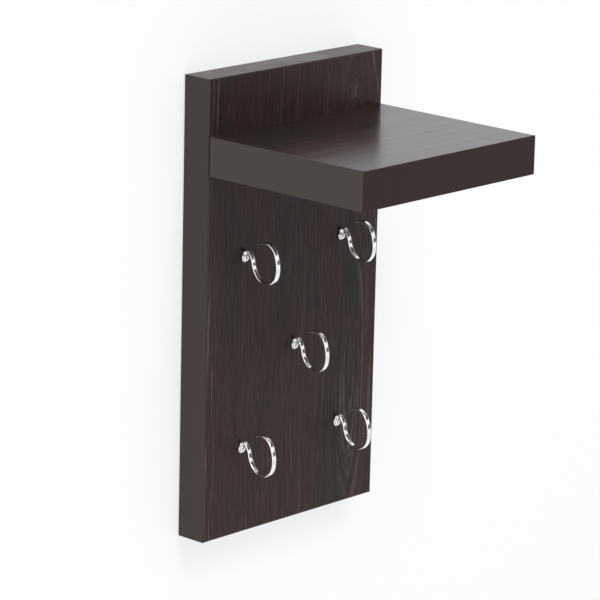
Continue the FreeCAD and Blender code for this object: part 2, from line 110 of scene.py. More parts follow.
def grey(tree, level):
    # a colour of three equal parts
    return addNode(tree, "ShaderNodeCombineColor", {0: level, 1: level, 2: level}).outputs[0]


def partsOf(tree, vector):
    # a vector's X, Y and Z
    return addNode(tree, "ShaderNodeSeparateXYZ", {0: vector}).outputs


def vectorOf(tree, **parts):
    # from its X, Y and Z, each 0 unless given
    return addNode(tree, "ShaderNodeCombineXYZ", parts).outputs[0]


def changeVector(tree, operation, vector, other):
    # vector + other or vector * other, each axis for itself
    return addNode(tree, "ShaderNodeVectorMath", {0: vector, 1: other}, operation=operation).outputs[0]


def addNoise(tree, vector, scale, detail, roughness):
    # smooth random values about 0.5, which change over 1 / scale metres
    return addNode(tree, "ShaderNodeTexNoise", {
        "Vector": vector, "Scale": scale, "Detail": detail, "Roughness": roughness,
    }).outputs["Fac"]


def addPattern(tree, place, pattern):
    # noise at the place times the pattern's three scales
    stretched = changeVector(tree, "MULTIPLY", place, pattern["scales"])
    return addNoise(tree, stretched, 1.0, pattern["detail"], pattern["roughness"])


def newGroup(name, inputs, outputs):
    # inputs are (label, kind, value) and outputs (label, kind)
    tree = bpy.data.node_groups.new(name, "ShaderNodeTree")
    for label, kind, value in inputs:
        socket = tree.interface.new_socket(name=label, in_out="INPUT", socket_type=kind)
        if value is not None:
            socket.default_value = value
    for label, kind in outputs:
        tree.interface.new_socket(name=label, in_out="OUTPUT", socket_type=kind)
    start = tree.nodes.new("NodeGroupInput")
    end = tree.nodes.new("NodeGroupOutput")
    return tree, start.outputs, end.inputs


def placeGroup(tree, group, inputs):
    # a copy of the group with its own values, as what it puts out
    node = tree.nodes.new("ShaderNodeGroup")
    node.node_tree = group
    for name, value in inputs.items():
        feed(tree, node.inputs[name], value)
    return node.outputs


def newMaterial(name, constants):
    # a Principled surface, with what is the same all over set on its own sockets
    material = bpy.data.materials.new(name)
    material.use_nodes = True
    tree = material.node_tree
    shader = tree.nodes["Principled BSDF"]
    for label, value in constants.items():
        shader.inputs[label].default_value = value
    place = tree.nodes.new("ShaderNodeTexCoord").outputs["Object"]
    return material, tree, shader, place


def finishSurface(tree, shader, colour, height, depth):
    # the colour goes straight to the surface, and the height, which is depth metres per 1, as a bump
    bump = addNode(tree, "ShaderNodeBump", {"Strength": 1.0, "Distance": depth, "Height": height})
    tree.links.new(colour, shader.inputs["Base Color"])
    tree.links.new(bump.outputs["Normal"], shader.inputs["Normal"])


# Effects that several materials use

vectorKind = "NodeSocketVector"
colourKind = "NodeSocketColor"
numberKind = "NodeSocketFloat"

grainPattern = {
    # each noise's scales are across the grain, into the board and along the grain
    "slowBend": {"scales": (14, 14, 6), "detail": 2.0, "roughness": 0.5},
    "quickBend": {"scales": (60, 60, 16), "detail": 2.0, "roughness": 0.5},
    "slowReach": 14 * mm,            # how far across the bends push the grain
    "quickReach": 1.8 * mm,
    "tone": {"scales": (22, 22, 7), "detail": 3.0, "roughness": 0.5},
    "cluster": {"scales": (45, 45, 5), "detail": 2.0, "roughness": 0.5},
    "lines": {"scales": (430, 0, 9), "detail": 4.0, "roughness": 0.62},
    "fibres": {"scales": (1500, 200, 70), "detail": 2.0, "roughness": 0.6},
    # the rings over which the heart of the figure fades, and what it adds at its middle
    "heartEnds": (0.25, 0.75),
    "heartGain": 0.20,
    # from which noise to which each effect sets in, and how strong it is there
    "darkEnds": (0.52, 0.64),
    "clusterEnds": (0.46, 0.64),
    "clusterLeast": 0.10,
    "lineEnds": (0.50, 0.68),
    "furrowEnds": (0.28, 0.46),
    "furrowShade": 0.68,
    "fibreEnds": (0.34, 0.70),
    "fibreShades": (0.72, 1.32),
    "dullEnds": (0.30, 0.75),
    "lineHeight": 0.5,               # beside the fibres' height of 1
}


def buildGrainGroup():
    # Wood decor with its grain along the third axis, as a plank sawn flat shows it: the growth lines
    # are long ellipses about the origin, each point's ring being sqrt((across / ring width) ** 2 +
    # (along / ring height) ** 2). Noise along the rings gives the light lines and the dark furrows, a
    # slower one gathers them, the slowest gives the dark zones, and the finest the fibres. The place is
    # bent a little first, so that everything wanders.
    look = grainPattern
    tree, given, result = newGroup("decorGrain", [
        ("Vector", vectorKind, None),
        ("Red Brown", colourKind, (0.03, 0.02, 0.02, 1)),
        ("Black Brown", colourKind, (0.02, 0.02, 0.02, 1)),
        ("Line", colourKind, (0.07, 0.05, 0.05, 1)),
        ("Line Amount", numberKind, 0.5),
        ("Seed", numberKind, 0.0),
        ("Ring Width", numberKind, 20 * mm),
        ("Ring Height", numberKind, 150 * mm),
    ], [("Color", colourKind), ("Roughness", numberKind), ("Height", numberKind)])

    place = changeVector(tree, "ADD", given["Vector"], vectorOf(tree, Y=given["Seed"]))
    slow = calculate(tree, "SUBTRACT", addPattern(tree, place, look["slowBend"]), 0.5)
    quick = calculate(tree, "SUBTRACT", addPattern(tree, place, look["quickBend"]), 0.5)
    bend = total(tree, product(tree, slow, look["slowReach"]), product(tree, quick, look["quickReach"]))
    bent = changeVector(tree, "ADD", place, vectorOf(tree, X=bend))
    parts = partsOf(tree, bent)
    wide = calculate(tree, "DIVIDE", parts["X"], given["Ring Width"])
    tall = calculate(tree, "DIVIDE", parts["Z"], given["Ring Height"])
    ring = calculate(tree, "SQRT", total(tree, product(tree, wide, wide), product(tree, tall, tall)))
    # the ring stands for the place across, and the two sides of the heart get lines of their own
    across = product(tree, ring, given["Ring Width"])
    ringed = vectorOf(tree, X=across, Y=parts["Y"], Z=parts["Z"])
    ringed = changeVector(tree, "ADD", ringed, calculate(tree, "SIGN", parts["X"]))

    tone = addPattern(tree, bent, look["tone"])
    cluster = addPattern(tree, bent, look["cluster"])
    lines = addPattern(tree, ringed, look["lines"])
    fibres = addPattern(tree, bent, look["fibres"])

    heart = spread(tree, ring, *look["heartEnds"], look["heartGain"], 0.0)
    dark = spread(tree, total(tree, tone, heart), *look["darkEnds"])
    ground = mixColour(tree, dark, given["Red Brown"], given["Black Brown"])
    gathered = total(tree, cluster, heart)
    gathered = spread(tree, gathered, *look["clusterEnds"], look["clusterLeast"], 1.0)
    light = product(tree, spread(tree, lines, *look["lineEnds"]), gathered, given["Line Amount"])
    lined = mixColour(tree, light, ground, given["Line"])
    deepest = calculate(tree, "SUBTRACT", look["furrowShade"], heart)
    furrow = spread(tree, lines, *look["furrowEnds"], deepest, 1.0)
    shade = product(tree, spread(tree, fibres, *look["fibreEnds"], *look["fibreShades"]), furrow)
    tree.links.new(mixColour(tree, 1.0, lined, grey(tree, shade), "MULTIPLY"), result["Color"])
    tree.links.new(spread(tree, lines, *look["dullEnds"]), result["Roughness"])
    tree.links.new(total(tree, fibres, product(tree, lines, look["lineHeight"])), result["Height"])
    return tree


chipPattern = {
    "coarseScale": 520.0,
    "smallScale": 1500.0,
    "smallShare": 0.35,
    "dark": (0.25, 0.155, 0.08, 1),
    "light": (0.56, 0.41, 0.25, 1),
    "below": (0.15 * mm, 0.3 * mm),  # the depth at which the decor passes into the chips
}


def buildChipGroup():
    # Raw chipboard inside drilled holes and recesses: cells of two sizes, each with its own shade.
    # The mask is 1 where the place is deeper than the decor, the depth being half the thickness less
    # the distance from the panel's middle plane.
    look = chipPattern
    tree, given, result = newGroup("chipCore", [
        ("Vector", vectorKind, None),
        ("From Middle", numberKind, 0.0),
        ("Half Thickness", numberKind, 10 * mm),
    ], [("Color", colourKind), ("Mask", numberKind), ("Height", numberKind)])
    shades = []
    for part, scale in enumerate([look["coarseScale"], look["smallScale"]]):
        cells = addNode(tree, "ShaderNodeTexVoronoi", {"Vector": given["Vector"], "Scale": scale})
        colours = addNode(tree, "ShaderNodeSeparateColor", {0: cells.outputs["Color"]})
        shades.append(colours.outputs[part])
    both = total(tree, product(tree, shades[0], 1 - look["smallShare"]),
                 product(tree, shades[1], look["smallShare"]))
    fromMiddle = calculate(tree, "ABSOLUTE", given["From Middle"])
    depth = calculate(tree, "SUBTRACT", given["Half Thickness"], fromMiddle)
    tree.links.new(mixColour(tree, both, look["dark"], look["light"]), result["Color"])
    tree.links.new(spread(tree, depth, *look["below"]), result["Mask"])
    tree.links.new(both, result["Height"])
    return tree


mottlePattern = {
    "blotches": {"detail": 3.0, "roughness": 0.55},
    "grit": {"detail": 2.0, "roughness": 0.6},
    "ends": (0.3, 0.7),
}


def buildMottleGroup():
    # Blotches * (1 - grit share) + grit * grit share, both noises: soft blotches for colour and
    # roughness, and the grit alone as a height for an uneven sheen.
    look = mottlePattern
    tree, given, result = newGroup("fineMottle", [
        ("Vector", vectorKind, None),
        ("Blotch Scale", numberKind, 60.0),
        ("Grit Scale", numberKind, 900.0),
        ("Grit Share", numberKind, 0.4),
    ], [("Mask", numberKind), ("Height", numberKind)])
    blotches = addNoise(tree, given["Vector"], given["Blotch Scale"], **look["blotches"])
    grit = addNoise(tree, given["Vector"], given["Grit Scale"], **look["grit"])
    rest = calculate(tree, "SUBTRACT", 1.0, given["Grit Share"])
    both = total(tree, product(tree, blotches, rest), product(tree, grit, given["Grit Share"]))
    tree.links.new(spread(tree, both, *look["ends"]), result["Mask"])
    tree.links.new(grit, result["Height"])
    return tree


grainGroup = buildGrainGroup()
chipGroup = buildChipGroup()
mottleGroup = buildMottleGroup()
print("effects built")


# Panels in wood decor

decorLook = {
    "redBrown": (0.0350, 0.0178, 0.0168, 1),
    "blackBrown": (0.0220, 0.0180, 0.0145, 1),
    "line": (0.1180, 0.0760, 0.0690, 1),
    "grainDepth": 0.03 * mm,
    "chipDullness": 0.5,             # added to the roughness inside holes
}
panelLook = {
    "node": "back_panel",
    "normal": "Y",
    "turn": (0, 0, 0),
    "centre": (-55 * mm, 0, 60 * mm),    # brings the figure's heart to the right of the middle
    "ring": (20 * mm, 150 * mm),
    "lineAmount": 0.34,
    # light lines gather along the left edge and again towards the right: two places across, and how
    # much more there is at each
    "moreLines": [((-74 * mm, -60 * mm), (1.50, 0.0)), ((20 * mm, 48 * mm), (0.0, 0.60))],
    "seed": 5.3,
    "roughness": (0.30, 0.38),
    "gloss": {"IOR": 1.5, "Specular IOR Level": 0.18},
}
shelfLook = {
    "node": "shelf_panel",
    "normal": "Z",
    "turn": (-math.pi / 2, -math.pi / 2, 0),     # the shelf's grain runs from side to side
    "centre": (-100 * mm, 0, 20 * mm),
    "ring": (30 * mm, 300 * mm),
    "lineAmount": 0.30,
    "moreLines": [],
    "seed": 0.4,
    "roughness": (0.19, 0.25),
    "gloss": {"IOR": 1.5, "Specular IOR Level": 0.42},
}


def buildDecor(name, look):
    # The grain where the place lies in the decor, and the chips below it: each of colour, roughness and
    # height is the grain's, with the chips' put over it or added by their mask.
    material, tree, shader, place = newMaterial(name, look["gloss"])
    turned = addNode(tree, "ShaderNodeMapping", {
        "Vector": place, "Rotation": look["turn"], "Location": look["centre"],
    }).outputs[0]
    amount = look["lineAmount"]
    for ends, more in look["moreLines"]:
        amount = total(tree, spread(tree, partsOf(tree, place)["X"], *ends, *more), amount)
    grain = placeGroup(tree, grainGroup, {
        "Vector": turned,
        "Red Brown": decorLook["redBrown"],
        "Black Brown": decorLook["blackBrown"],
        "Line": decorLook["line"],
        "Line Amount": amount,
        "Seed": look["seed"],
        "Ring Width": look["ring"][0],
        "Ring Height": look["ring"][1],
    })
    low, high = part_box(look["node"])
    axis = "XYZ".index(look["normal"])
    middle = (low[axis] + high[axis]) / 2
    chips = placeGroup(tree, chipGroup, {
        "Vector": place,
        "From Middle": calculate(tree, "SUBTRACT", partsOf(tree, place)[look["normal"]], middle),
        "Half Thickness": (high[axis] - low[axis]) / 2,
    })
    rough = total(tree, spread(tree, grain["Roughness"], 0.0, 1.0, *look["roughness"]),
                  product(tree, chips["Mask"], decorLook["chipDullness"]))
    tree.links.new(rough, shader.inputs["Roughness"])
    colour = mixColour(tree, chips["Mask"], grain["Color"], chips["Color"])
    height = total(tree, grain["Height"], product(tree, chips["Height"], chips["Mask"]))
    finishSurface(tree, shader, colour, height, decorLook["grainDepth"])
    return material


# Bands

bandLook = {
    "mottle": {"Blotch Scale": 45.0, "Grit Scale": 1300.0, "Grit Share": 0.35},
    "roughness": (0.30, 0.40),
    "unevenness": 0.01 * mm,
    "ior": 1.5,
    # the three bands are one banding painted in three shades for how light falls on them: the shelf's
    # side bands lighter, as painted light, and the shelf's front band darker, as painted shade, as well
    # as redder and duller
    "kinds": {
        "boardBand": {
            "colour": (0.0310, 0.0205, 0.0165, 1), "blotch": (0.0360, 0.0240, 0.0195, 1), "gloss": 0.33,
        },
        "sideBand": {
            # painted lighter than the panel's bands: painted light on the shelf's side faces
            "colour": (0.0390, 0.0275, 0.0215, 1), "blotch": (0.0440, 0.0310, 0.0245, 1), "gloss": 0.38,
        },
        # painted darker than the other bands: painted shade on the shelf's front
        "frontBand": {
            "colour": (0.0290, 0.0155, 0.0145, 1), "blotch": (0.0320, 0.0175, 0.0165, 1), "gloss": 0.12,
        },
    },
    # the painted shadow line where the shelf's side bands meet the panel, a dark stripe standing in for
    # the shade of the joint: how far out from the panel's front it fades, its colour, which counts as
    # metal so that it hardly shines, and how much rougher it is
    "jointShadowEnds": (0.60 * mm, 1.05 * mm),
    "jointShadowColour": (0.0060, 0.0050, 0.0050, 1),
    "jointShadowDullness": 0.4,
}


def buildBandMaterial(kind):
    # the mottle's mask mixes the two colours and the two roughnesses, and the painted joint shadow goes
    # over them
    look = bandLook["kinds"][kind]
    gloss = {"IOR": bandLook["ior"], "Specular IOR Level": look["gloss"]}
    material, tree, shader, place = newMaterial(kind, gloss)
    mottle = placeGroup(tree, mottleGroup, {"Vector": place, **bandLook["mottle"]})
    colour = mixColour(tree, mottle["Mask"], look["colour"], look["blotch"])
    rough = spread(tree, mottle["Mask"], 0.0, 1.0, *bandLook["roughness"])
    if kind == "sideBand":
        # on the shelf's side bands, a painted shadow darkens the strip next to the panel's front
        fromPanel = calculate(tree, "SUBTRACT", boardFront, partsOf(tree, place)["Y"])
        jointShadow = spread(tree, fromPanel, *bandLook["jointShadowEnds"], 1.0, 0.0)
        colour = mixColour(tree, jointShadow, colour, bandLook["jointShadowColour"])
        rough = total(tree, rough, product(tree, jointShadow, bandLook["jointShadowDullness"]))
        tree.links.new(jointShadow, shader.inputs["Metallic"])
    tree.links.new(rough, shader.inputs["Roughness"])
    finishSurface(tree, shader, colour, mottle["Height"], bandLook["unevenness"])
    return material


# Metals

metalLooks = {
    "chrome": {
        "colour": (0.95, 0.94, 0.93, 1), "other": (0.90, 0.89, 0.88, 1),
        "roughness": (0.03, 0.07), "grit": 700.0, "depth": 0.001 * mm,
    },
    "zincSheet": {
        "colour": (0.60, 0.60, 0.61, 1), "other": (0.46, 0.47, 0.49, 1),
        "roughness": (0.28, 0.46), "grit": 1100.0, "depth": 0.008 * mm,
    },
    "zincScrew": {
        "colour": (0.66, 0.61, 0.50, 1), "other": (0.52, 0.50, 0.46, 1),
        "roughness": (0.24, 0.42), "grit": 1400.0, "depth": 0.006 * mm,
    },
}
metalMottle = {"Blotch Scale": 160.0, "Grit Share": 0.5}


def buildMetal(name):
    # the mottle's mask mixes the two colours and the two roughnesses
    look = metalLooks[name]
    material, tree, shader, place = newMaterial(name, {"Metallic": 1.0})
    mottle = placeGroup(tree, mottleGroup, {"Vector": place, "Grit Scale": look["grit"], **metalMottle})
    colour = mixColour(tree, mottle["Mask"], look["colour"], look["other"])
    rough = spread(tree, mottle["Mask"], 0.0, 1.0, *look["roughness"])
    tree.links.new(rough, shader.inputs["Roughness"])
    finishSurface(tree, shader, colour, mottle["Height"], look["depth"])
    return material


# Dowels

dowelLook = {
    "light": (0.66, 0.46, 0.28, 1),
    "dark": (0.50, 0.32, 0.17, 1),
    "roughness": 0.6,
    "fibres": {"scales": (1600, 90, 1600), "detail": 3.0, "roughness": 0.5},   # long into the board
    "fibreEnds": (0.35, 0.65),
    "fibreDepth": 0.04 * mm,
}


def buildDowelMaterial():
    # one noise along the dowel mixes the two colours and is the height
    look = dowelLook
    material, tree, shader, place = newMaterial("beech", {"Roughness": look["roughness"]})
    fibres = addPattern(tree, place, look["fibres"])
    colour = mixColour(tree, spread(tree, fibres, *look["fibreEnds"]), look["light"], look["dark"])
    finishSurface(tree, shader, colour, fibres, look["fibreDepth"])
    return material


def dress(material, *nodes):
    # a solid keeps its mesh and its place, and only its material changes
    for node in nodes:
        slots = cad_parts[node].data.materials
        slots.clear()
        slots.append(material)


panelDecor = buildDecor("panelDecor", panelLook)
shelfDecor = buildDecor("shelfDecor", shelfLook)
boardBand = buildBandMaterial("boardBand")
sideBand = buildBandMaterial("sideBand")
frontBand = buildBandMaterial("frontBand")
chrome = buildMetal("chrome")
zincSheet = buildMetal("zincSheet")
zincScrew = buildMetal("zincScrew")
beech = buildDowelMaterial()

dress(panelDecor, "back_panel")
dress(shelfDecor, "shelf_panel")
dress(boardBand, "back_band_top", "back_band_bottom")
dress(frontBand, "shelf_band_front")
for side in sideNames:
    dress(boardBand, f"back_band_{side}")
    dress(sideBand, f"shelf_band_{side}")
    dress(beech, f"shelf_dowel_{side}")
    dress(zincSheet, f"hanger_plate_{side}")
    dress(zincScrew, f"shelf_screw_{side}", f"hanger_screw_{side}_lower", f"hanger_screw_{side}_upper")
print("panels, bands and fixings dressed")


# New pieces

def gridFaces(index, closed=True):
    # Four-cornered faces over a grid of point numbers, one between each two neighbours in a row and the
    # same two in the next row. With closed, each row's last point is a neighbour of its first.
    if closed:
        index = np.concatenate([index, index[:, :1]], axis=1)
    corners = [index[:-1, :-1], index[:-1, 1:], index[1:, 1:], index[1:, :-1]]
    return np.stack(corners, axis=-1).reshape(-1, 4)


def makePiece(name, points, quads, polygons, material):
    # one closed skin: merged where poles repeat a point, then turned so that its faces point outwards
    mesh = bpy.data.meshes.new(name)
    faces = [tuple(face) for face in quads.tolist()] + [tuple(face) for face in polygons]
    mesh.from_pydata(points.tolist(), [], faces)
    skin = bmesh.new()
    skin.from_mesh(mesh)
    bmesh.ops.remove_doubles(skin, verts=skin.verts, dist=0.001 * mm)
    bmesh.ops.recalc_face_normals(skin, faces=skin.faces)
    skin.to_mesh(mesh)
    skin.free()
    mesh.shade_smooth()
    mesh.materials.append(material)
    piece = bpy.data.objects.new(name, mesh)
    scene.collection.objects.link(piece)
    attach(piece, "root")
    return piece


def placeAtScrew(name, outward, points):
    # millimetres about a hook screw's axis, as (across, outward, up), become metres in the frame
    low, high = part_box(f"hook_screw_{name}")
    place = np.array([(low.x + high.x) / 2, outward, (low.z + high.z) / 2])
    return place + points * np.array([mm, -mm, mm])


# Hooks: a flat strip, bent over its screw and round a tall loop. Millimetres, and the line that it
# follows is given as (outward, up) from where the screw's axis meets the panel's front.

hookShape = {
    "width": 3.2,
    "thickness": 1.4,
    "edgeRadius": 0.55,
    "curlRise": 3.05,      # height above the screw's axis at which the bends start
    # each bend's radius at mid thickness and its turn in degrees: the first goes over the screw and
    # outwards, which is negative
    "bends": [(2.1, -133.0), (13.3, -36.5), (15.2, 36.0), (9.9, 126.0), (22.0, 32.0), (9.8, 93.5)],
    "footRadius": 2.8,
    "holeRadius": 1.25,
    "step": 0.35,          # spacing of the sections along the line
    "rimPoints": 5,        # on each quarter round of a softened edge
    "rowPoints": 5,        # across each flat face
    "footColumns": 36,
}


def hookLine():
    # A chain of bends, each carrying on from where the last one ended. With the strip heading h at a
    # point p, a bend's centre is p + r * (cos s, sin s) with s = h + 90 degrees to its side, and after
    # a turn of a the line is at centre - r * (cos(s + a), sin(s + a)) with heading h + a.
    shape = hookShape
    point = np.array([shape["thickness"] / 2, shape["curlRise"]])
    heading = math.pi / 2
    last = len(shape["bends"]) - 1
    points = []
    headings = []
    for index, (radius, degrees) in enumerate(shape["bends"]):
        side = heading + math.copysign(math.pi / 2, degrees)
        centre = point + radius * np.array([math.cos(side), math.sin(side)])
        span = math.radians(degrees)
        if index == last:
            # the rounding of the free end makes up the rest
            span -= shape["edgeRadius"] / radius
        count = max(3, math.ceil(abs(span) * radius / shape["step"]))
        turned = np.linspace(0, span, count + 1)
        arc = centre - radius * np.stack([np.cos(side + turned), np.sin(side + turned)], axis=1)
        course = np.stack([np.cos(heading + turned), np.sin(heading + turned)], axis=1)
        # a bend's end is the next one's start
        kept = count + 1 if index == last else count
        points.append(arc[:kept])
        headings.append(course[:kept])
        point = arc[-1]
        heading += span
    return np.concatenate(points), np.concatenate(headings)


def stripStart():
    # height at which the strip leaves the foot's round: sqrt(foot radius ** 2 - half width ** 2)
    return math.sqrt(hookShape["footRadius"] ** 2 - (hookShape["width"] / 2) ** 2)


def stripCourse():
    # The line from the foot's round to the free end, which is rounded over: at an angle e of the
    # rounding, the strip has gone on by radius * sin(e) and is drawn in by radius * (1 - cos(e)).
    shape = hookShape
    radius = shape["edgeRadius"]
    line, heading = hookLine()
    ease = np.linspace(0, math.pi / 2, shape["rimPoints"])[1:]
    start = [[shape["thickness"] / 2, stripStart()]]
    end = line[-1] + radius * np.sin(ease)[:, None] * heading[-1]
    line = np.concatenate([start, line, end])
    heading = np.concatenate([[[0.0, 1.0]], heading, np.repeat(heading[-1:], ease.size, axis=0)])
    inset = np.concatenate([np.zeros(len(line) - ease.size), radius * (1 - np.cos(ease))])
    return line, heading, inset


def rimProfile():
    # Half of a strip's edge seen end on, as (out of the flat edge, height) pairs: a quarter round of
    # (radius * sin(q), half thickness - radius + radius * cos(q)), and its mirror image below.
    radius = hookShape["edgeRadius"]
    half = hookShape["thickness"] / 2
    quarter = np.linspace(0, math.pi / 2, hookShape["rimPoints"])
    out = radius * np.sin(quarter)
    height = half - radius + radius * np.cos(quarter)
    return np.concatenate([out, out[::-1]]), np.concatenate([height, -height[::-1]])


def stripSection():
    # closed outline of the strip: left rim, back row, right rim and front row, as (across, height)
    out, height = rimProfile()
    flat = hookShape["width"] / 2 - hookShape["edgeRadius"]
    half = hookShape["thickness"] / 2
    row = np.linspace(-flat, flat, hookShape["rowPoints"] + 2)[1:-1]
    across = np.concatenate([-flat - out, row, (flat + out)[::-1], row[::-1]])
    below = np.full(row.size, -half)
    above = np.full(row.size, half)
    return across, np.concatenate([height, below, height[::-1], above])


def stripRings():
    # The section at each point of the line: its across on X, and its height along the line's right-hand
    # normal, which is (up part, -outward part) of the heading.
    half = hookShape["thickness"] / 2
    halfWidth = hookShape["width"] / 2
    across, heights = stripSection()
    line, heading, inset = stripCourse()
    normal = np.stack([heading[:, 1], -heading[:, 0]], axis=1)
    lift = heights * ((half - inset) / half)[:, None]
    return np.stack([
        across * ((halfWidth - inset) / halfWidth)[:, None],
        line[:, :1] + normal[:, :1] * lift,
        line[:, 1:] + normal[:, 1:] * lift,
    ], axis=-1)


def footRim():
    # the edge profile carried round the foot, from the strip's left edge below the screw to its right:
    # (foot radius - edge radius + out) * (cos, sin) of the angle, at half thickness + height
    shape = hookShape
    out, height = rimProfile()
    corner = math.atan2(stripStart(), -shape["width"] / 2)
    angles = np.linspace(corner, 3 * math.pi - corner, shape["footColumns"] + 2)[1:-1]
    reach = shape["footRadius"] - shape["edgeRadius"] + out
    return np.stack([
        reach * np.cos(angles)[:, None],
        np.broadcast_to(shape["thickness"] / 2 + height, (angles.size, out.size)),
        reach * np.sin(angles)[:, None],
    ], axis=-1)


def hookSurface():
    # The strip's rings, the foot's rim between the strip's two edges, and three bands of faces from the
    # foot's front outline over the front and back of the screw's hole to its back outline.
    shape = hookShape
    strip = stripRings()
    foot = footRim()
    stripIndex = np.arange(strip.shape[0] * strip.shape[1]).reshape(strip.shape[:2])
    footIndex = np.arange(foot.shape[0] * foot.shape[1]).reshape(foot.shape[:2]) + stripIndex.size
    known = np.concatenate([strip.reshape(-1, 3), foot.reshape(-1, 3)])

    # the strip's first ring lies on the foot, and its outline is in four stretches
    rim = foot.shape[1]
    rows = shape["rowPoints"]
    leftRim, backRow, rightRim, frontRow = np.split(stripIndex[0], np.cumsum([rim, rows, rim]))
    columns = np.concatenate([leftRim[None, :], footIndex, rightRim[::-1][None, :]])
    frontLoop = np.concatenate([columns[:, 0], frontRow])
    backLoop = np.concatenate([columns[:, -1], backRow[::-1]])

    # each point of the hole's circle has the direction of its neighbour on the front outline
    turns = np.arctan2(known[frontLoop, 2], known[frontLoop, 0])
    circle = np.stack([np.cos(turns), np.zeros(turns.size), np.sin(turns)], axis=1) * shape["holeRadius"]
    frontHole = len(known) + np.arange(turns.size)
    backHole = frontHole + turns.size
    points = np.concatenate([known, circle + np.array([0.0, shape["thickness"], 0.0]), circle])
    quads = np.concatenate([
        gridFaces(stripIndex),
        gridFaces(columns, closed=False),
        gridFaces(np.stack([frontLoop, frontHole, backHole, backLoop])),
    ])
    return points, quads, [stripIndex[-1].tolist()]


def buildHooks():
    # one surface, placed at each of the five screws
    points, quads, polygons = hookSurface()
    for name in hookNames:
        placed = placeAtScrew(name, boardFront, points)
        hook = makePiece(f"strip_hook_{name}", placed, quads, polygons, chrome)
        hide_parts(f"hook_{name}")


# Hook screws: a low dome with a cross recess, and a plain shank that runs to a point. Millimetres.

screwShape = {
    "headRadius": 2.2,
    "headHeight": 1.7,
    "headRim": 0.4,
    "shankRadius": 1.1,
    "length": 15.4,        # from under the head to the point
    "tip": 2.0,
    "crossLength": 1.5,
    "crossWidth": 0.32,
    "crossDepth": 0.32,
    "crossTaper": 0.45,    # share of its depth that the cross loses at its arms' ends
    "crossEnds": (-0.12, 0.04),    # from the cross's outline inwards and outwards, where its wall is
    "columns": 72,
    "faceRings": 26,
}
screwTurns = {"upper_left": 17, "upper_right": 61, "middle": 38, "lower_left": 80, "lower_right": 5}


def smoothStep(value, low, high):
    # t * t * (3 - 2 * t) with t = (value - low) / (high - low) held between 0 and 1
    share = np.clip((value - low) / (high - low), 0, 1)
    return share * share * (3 - 2 * share)


def screwSurface(turnDegrees):
    # Rings about the axis. The head's face is half an ellipse above its rim, so its height at a radius
    # r is rim + dome * sqrt(1 - (r / head radius) ** 2). The cross takes off its depth, less towards its
    # arms' ends, and eased over its wall.
    shape = screwShape
    dome = shape["headHeight"] - shape["headRim"]
    lean = np.linspace(0, math.pi / 2, shape["faceRings"])
    faceRadius = shape["headRadius"] * np.sin(lean)
    faceHeight = shape["headRim"] + dome * np.cos(lean)
    # below the face: the head's underside, the shank's two ends and the point
    belowRadius = np.array([shape["headRadius"], shape["shankRadius"], shape["shankRadius"], 0.0])
    belowHeight = np.array([0.0, 0.0, shape["tip"] - shape["length"], -shape["length"]])
    radius = np.concatenate([faceRadius, belowRadius])
    height = np.concatenate([faceHeight, belowHeight])
    angle = np.linspace(0, 2 * math.pi, shape["columns"], endpoint=False)
    across = radius[:, None] * np.cos(angle)
    up = radius[:, None] * np.sin(angle)

    # how far each point is outside the cross, the smaller of its distances from the two bars
    turn = math.radians(turnDegrees)
    alongArm = np.abs(across * math.cos(turn) + up * math.sin(turn))
    overArm = np.abs(up * math.cos(turn) - across * math.sin(turn))
    arm = shape["crossLength"] / 2
    side = shape["crossWidth"] / 2
    oneBar = np.maximum(alongArm - arm, overArm - side)
    otherBar = np.maximum(overArm - arm, alongArm - side)
    outside = np.minimum(oneBar, otherBar)
    taper = 1 - shape["crossTaper"] * np.hypot(across, up) / arm
    onFace = (np.arange(radius.size) < shape["faceRings"])[:, None]
    cut = onFace * shape["crossDepth"] * taper * (1 - smoothStep(outside, *shape["crossEnds"]))
    points = np.stack([across, height[:, None] - cut, up], axis=-1)
    index = np.arange(across.size).reshape(across.shape)
    return points.reshape(-1, 3), gridFaces(index)


def buildHookScrews():
    # each head lies on its strip's foot, with the cross turned its own way
    underHead = boardFront - hookShape["thickness"] * mm
    for name in hookNames:
        points, quads = screwSurface(screwTurns[name])
        placed = placeAtScrew(name, underHead, points)
        screw = makePiece(f"dome_screw_{name}", placed, quads, [], chrome)
        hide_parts(f"hook_screw_{name}")


buildHooks()
buildHookScrews()
print("hooks and their screws built")


# Stage: a pale wall behind the holder and a pale floor well below it, each seen from its front only

stageLook = {
    "wallGap": 1.0 * mm,
    "halfWidth": 4.0,
    "floorDrop": 1.5,
    "floorReach": 6.0,
    "wallShade": 0.36,
    "wallGlow": 0.645,
    "floorShade": 0.50,
    "floorGlow": 0.55,
    "clouds": {"scales": (2, 2, 2), "detail": 2.0, "roughness": 0.5},
    "cloudEnds": (0.3, 0.7),
    "cloudShade": 0.99,    # of the shade around them
}


def buildStageMaterial(name, shade, glow):
    # matt paint that also glows by itself, and from behind nothing at all
    look = stageLook
    material = bpy.data.materials.new(name)
    material.use_nodes = True
    tree = material.node_tree
    tree.nodes.clear()
    place = tree.nodes.new("ShaderNodeTexCoord").outputs["Object"]
    clouds = addPattern(tree, place, look["clouds"])
    soft = spread(tree, clouds, *look["cloudEnds"], shade * look["cloudShade"], shade)
    matt = addNode(tree, "ShaderNodeBsdfDiffuse", {"Color": grey(tree, soft)}).outputs[0]
    glowing = addNode(tree, "ShaderNodeEmission", {"Color": (1, 1, 1, 1), "Strength": glow}).outputs[0]
    both = addNode(tree, "ShaderNodeAddShader", {0: matt, 1: glowing}).outputs[0]
    clear = tree.nodes.new("ShaderNodeBsdfTransparent").outputs[0]
    behind = tree.nodes.new("ShaderNodeNewGeometry").outputs["Backfacing"]
    shown = addNode(tree, "ShaderNodeMixShader", {0: behind, 1: both, 2: clear}).outputs[0]
    tree.links.new(shown, tree.nodes.new("ShaderNodeOutputMaterial").inputs["Surface"])
    return material


